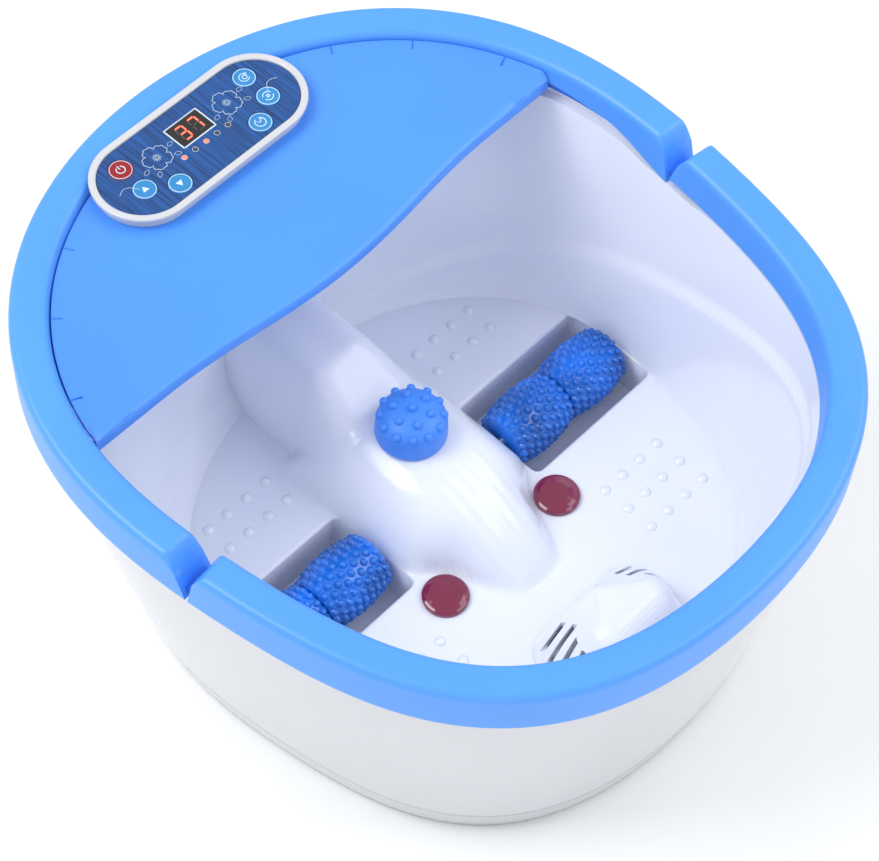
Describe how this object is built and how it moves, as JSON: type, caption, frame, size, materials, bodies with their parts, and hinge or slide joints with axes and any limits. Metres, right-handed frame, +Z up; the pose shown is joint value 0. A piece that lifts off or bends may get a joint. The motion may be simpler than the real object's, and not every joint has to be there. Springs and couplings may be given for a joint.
{
  "type": "pedicure foot bath",
  "caption": "Foot spa with a white tapered shell and basin, blue rim and splash deck, oval key panel with display, nubby knob, roller wells, lamps and a bubble hood.",
  "frame": {"origin": "on the floor, under the middle of the whole bath's box", "axes": "+X to the user's right, +Y towards the panel end, +Z up"},
  "size_m": [0.3708, 0.4186, 0.1902],
  "materials": {
    "shell_white": "gloss",
    "basin_white": "gloss",
    "rim_blue": "satin",
    "label_blue": "satin",
    "display_black": "gloss",
    "led_red": "gloss",
    "power_red": "satin",
    "key_blue": "satin",
    "silicone": "matte",
    "board_green": "satin",
    "ribbon_grey": "matte",
    "knob_blue": "satin",
    "axle_steel": "brushed",
    "roller_blue": "gloss",
    "gear_nylon": "satin",
    "inner_grey": "matte",
    "lamp_red": "gloss",
    "heater_aluminium": "satin",
    "foot_rubber": "matte"
  },
  "bodies": {
    "root": {"outer_shell": "shell_white", "base_plate": "shell_white", "basin": "basin_white", "front_rim": "rim_blue", "rear_rim": "rim_blue", "splash_deck": "rim_blue", "panel_bezel": "shell_white", "panel_faceplate": "label_blue", "display_window": "display_black", "display_module": "display_black", "led_indicators": "led_red", "key_mat": "silicone", "control_board": "board_green", "panel_ribbon": "ribbon_grey", "main_board": "board_green", "knob_socket": "basin_white", "left_motor": "axle_steel", "right_motor": "axle_steel", "left_motor_saddle": "inner_grey", "right_motor_saddle": "inner_grey", "left_shaft_seal": "silicone", "right_shaft_seal": "silicone", "left_axle_bush": "gear_nylon", "right_axle_bush": "gear_nylon", "left_lamp_lens": "lamp_red", "right_lamp_lens": "lamp_red", "left_lamp_board": "board_green", "right_lamp_board": "board_green", "bubble_hood": "basin_white", "heater_plate": "heater_aluminium", "thermostat": "axle_steel", "blower_housing": "inner_grey", "blower_lid": "inner_grey", "blower_motor": "axle_steel", "air_hose": "silicone", "cord_gland": "inner_grey", "front_left_foot": "foot_rubber", "front_right_foot": "foot_rubber", "rear_left_foot": "foot_rubber", "rear_right_foot": "foot_rubber", "base_screws": "axle_steel"},
    "power_key": {"power_key": "power_red"},
    "up_key": {"up_key": "key_blue"},
    "down_key": {"down_key": "key_blue"},
    "bubble_key": {"bubble_key": "key_blue"},
    "massage_key": {"massage_key": "key_blue"},
    "timer_key": {"timer_key": "key_blue"},
    "knob": {"acupressure_knob": "knob_blue"},
    "left_roller": {"left_roller_axle": "axle_steel", "left_inner_barrel": "roller_blue", "left_outer_barrel": "roller_blue", "left_axle_gear": "gear_nylon"},
    "right_roller": {"right_roller_axle": "axle_steel", "right_inner_barrel": "roller_blue", "right_outer_barrel": "roller_blue", "right_axle_gear": "gear_nylon"},
    "left_pinion": {"left_motor_pinion": "gear_nylon"},
    "right_pinion": {"right_motor_pinion": "gear_nylon"},
    "impeller": {"blower_impeller": "inner_grey"}
  },
  "joints": [
    {"name": "power_press", "type": "slide", "parent": "root", "child": "power_key", "axis": [0, 0, -1], "range_m": [0, 0.0008], "stiffness_N_per_m": 600},
    {"name": "up_press", "type": "slide", "parent": "root", "child": "up_key", "axis": [0, 0, -1], "range_m": [0, 0.0008], "stiffness_N_per_m": 600},
    {"name": "down_press", "type": "slide", "parent": "root", "child": "down_key", "axis": [0, 0, -1], "range_m": [0, 0.0008], "stiffness_N_per_m": 600},
    {"name": "bubble_press", "type": "slide", "parent": "root", "child": "bubble_key", "axis": [0, 0, -1], "range_m": [0, 0.0008], "stiffness_N_per_m": 600},
    {"name": "massage_press", "type": "slide", "parent": "root", "child": "massage_key", "axis": [0, 0, -1], "range_m": [0, 0.0008], "stiffness_N_per_m": 600},
    {"name": "timer_press", "type": "slide", "parent": "root", "child": "timer_key", "axis": [0, 0, -1], "range_m": [0, 0.0008], "stiffness_N_per_m": 600},
    {"name": "knob_lift", "type": "slide", "parent": "root", "child": "knob", "axis": [0, 0, 1], "range_m": [0, 0.014]},
    {"name": "left_roller_spin", "type": "hinge", "parent": "root", "child": "left_roller", "pos_m": [0, -0.008, 0.037], "axis": [1, 0, 0], "continuous": true},
    {"name": "right_roller_spin", "type": "hinge", "parent": "root", "child": "right_roller", "pos_m": [0, -0.008, 0.037], "axis": [1, 0, 0], "continuous": true},
    {"name": "left_pinion_spin", "type": "hinge", "parent": "root", "child": "left_pinion", "pos_m": [0, -0.02625, 0.037], "axis": [1, 0, 0], "continuous": true},
    {"name": "right_pinion_spin", "type": "hinge", "parent": "root", "child": "right_pinion", "pos_m": [0, -0.02625, 0.037], "axis": [1, 0, 0], "continuous": true},
    {"name": "impeller_spin", "type": "hinge", "parent": "root", "child": "impeller", "pos_m": [-0.088, -0.092, 0.012], "axis": [0, 0, 1], "continuous": true}
  ],
  "couplings": [
    {"joint": "left_pinion_spin", "follows": "left_roller_spin", "ratio": -2},
    {"joint": "right_pinion_spin", "follows": "right_roller_spin", "ratio": -2}
  ]
}
